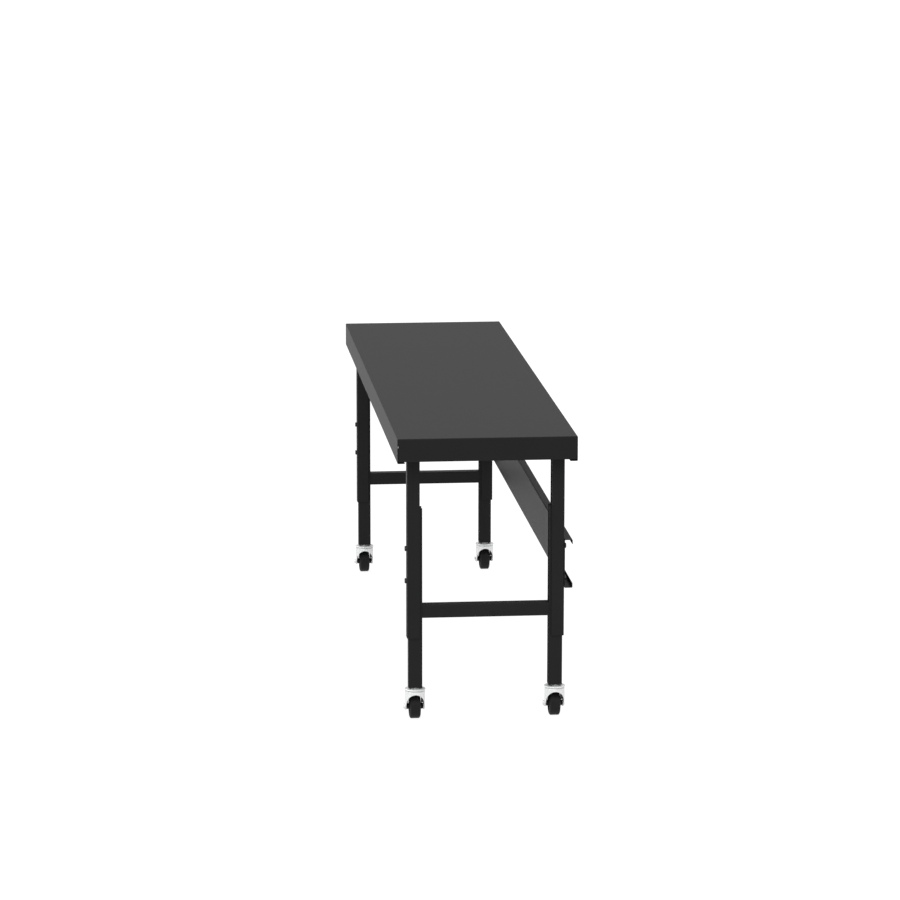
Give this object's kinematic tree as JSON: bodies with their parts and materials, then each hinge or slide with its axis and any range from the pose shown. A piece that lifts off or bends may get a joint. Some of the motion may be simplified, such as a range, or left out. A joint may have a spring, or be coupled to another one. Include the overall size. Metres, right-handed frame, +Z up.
{
  "type": "mobile steel workbench",
  "caption": "Long black sheet steel workbench with a folded top, telescoping channel legs, a rear stringer and swivel castors.",
  "frame": {"origin": "on the floor, under the middle of the worktop", "axes": "+X along the bench to the right of a person at the open front, +Y to the rear, +Z up"},
  "size_m": [2.438, 0.61, 0.988],
  "materials": {
    "top_paint": "satin black powder coat",
    "frame_paint": "satin black powder coat",
    "black_oxide": "black oxide steel",
    "zinc_plate": "bright zinc plated pressed steel",
    "bearing_steel": "plain ground steel",
    "wheel_hub": "moulded black plastic",
    "wheel_tyre": "smooth black rubber"
  },
  "bodies": {
    "bench": {"worktop_pan": "top_paint", "front_stiffener": "frame_paint", "rear_stiffener": "frame_paint", "right_cross_channel": "frame_paint", "left_cross_channel": "frame_paint", "rear_stringer": "frame_paint", "right_front_upper_leg": "frame_paint", "right_rear_upper_leg": "frame_paint", "left_front_upper_leg": "frame_paint", "left_rear_upper_leg": "frame_paint", "right_front_leg_top_plate": "frame_paint", "right_rear_leg_top_plate": "frame_paint", "left_front_leg_top_plate": "frame_paint", "left_rear_leg_top_plate": "frame_paint", "top_plate_bolts": "black_oxide", "leg_bolts": "black_oxide", "leg_bolt_washers": "black_oxide", "leg_bolt_nuts": "black_oxide"},
    "right_leg_frame": {"right_cross_brace": "frame_paint", "right_front_lower_leg": "frame_paint", "right_front_foot_plate": "frame_paint", "right_rear_lower_leg": "frame_paint", "right_rear_foot_plate": "frame_paint", "right_front_castor_stem": "zinc_plate", "right_rear_castor_stem": "zinc_plate", "right_stem_nuts": "zinc_plate", "right_castor_balls": "bearing_steel"},
    "left_leg_frame": {"left_cross_brace": "frame_paint", "left_front_lower_leg": "frame_paint", "left_front_foot_plate": "frame_paint", "left_rear_lower_leg": "frame_paint", "left_rear_foot_plate": "frame_paint", "left_front_castor_stem": "zinc_plate", "left_rear_castor_stem": "zinc_plate", "left_stem_nuts": "zinc_plate", "left_castor_balls": "bearing_steel"},
    "right_front_castor": {"right_front_castor_fork": "zinc_plate", "right_front_axle_bolt": "zinc_plate", "right_front_axle_nut": "zinc_plate", "right_front_axle_bush": "bearing_steel"},
    "right_front_wheel": {"right_front_wheel_hub": "wheel_hub", "right_front_wheel_tyre": "wheel_tyre"},
    "right_rear_castor": {"right_rear_castor_fork": "zinc_plate", "right_rear_axle_bolt": "zinc_plate", "right_rear_axle_nut": "zinc_plate", "right_rear_axle_bush": "bearing_steel"},
    "right_rear_wheel": {"right_rear_wheel_hub": "wheel_hub", "right_rear_wheel_tyre": "wheel_tyre"},
    "left_front_castor": {"left_front_castor_fork": "zinc_plate", "left_front_axle_bolt": "zinc_plate", "left_front_axle_nut": "zinc_plate", "left_front_axle_bush": "bearing_steel"},
    "left_front_wheel": {"left_front_wheel_hub": "wheel_hub", "left_front_wheel_tyre": "wheel_tyre"},
    "left_rear_castor": {"left_rear_castor_fork": "zinc_plate", "left_rear_axle_bolt": "zinc_plate", "left_rear_axle_nut": "zinc_plate", "left_rear_axle_bush": "bearing_steel"},
    "left_rear_wheel": {"left_rear_wheel_hub": "wheel_hub", "left_rear_wheel_tyre": "wheel_tyre"}
  },
  "joints": [
    {"name": "right_height", "type": "slide", "parent": "bench", "child": "right_leg_frame", "axis": [0, 0, -1], "range_m": [-0.14, 0.028]},
    {"name": "left_height", "type": "slide", "parent": "bench", "child": "left_leg_frame", "axis": [0, 0, -1], "range_m": [-0.14, 0.028]},
    {"name": "right_front_swivel", "type": "hinge", "parent": "right_leg_frame", "child": "right_front_castor", "pos_m": [1.1425, -0.23985, 0.10325], "axis": [0, 0, 1], "continuous": true},
    {"name": "right_front_roll", "type": "hinge", "parent": "right_front_castor", "child": "right_front_wheel", "pos_m": [1.1295, -0.23985, 0.042], "axis": [0, 1, 0], "continuous": true},
    {"name": "right_rear_swivel", "type": "hinge", "parent": "right_leg_frame", "child": "right_rear_castor", "pos_m": [1.1425, 0.23985, 0.10325], "axis": [0, 0, 1], "continuous": true},
    {"name": "right_rear_roll", "type": "hinge", "parent": "right_rear_castor", "child": "right_rear_wheel", "pos_m": [1.1295, 0.23985, 0.042], "axis": [0, 1, 0], "continuous": true},
    {"name": "left_front_swivel", "type": "hinge", "parent": "left_leg_frame", "child": "left_front_castor", "pos_m": [-1.1425, -0.23985, 0.10325], "axis": [0, 0, 1], "continuous": true},
    {"name": "left_front_roll", "type": "hinge", "parent": "left_front_castor", "child": "left_front_wheel", "pos_m": [-1.1555, -0.23985, 0.042], "axis": [0, 1, 0], "continuous": true},
    {"name": "left_rear_swivel", "type": "hinge", "parent": "left_leg_frame", "child": "left_rear_castor", "pos_m": [-1.1425, 0.23985, 0.10325], "axis": [0, 0, 1], "continuous": true},
    {"name": "left_rear_roll", "type": "hinge", "parent": "left_rear_castor", "child": "left_rear_wheel", "pos_m": [-1.1555, 0.23985, 0.042], "axis": [0, 1, 0], "continuous": true}
  ]
}
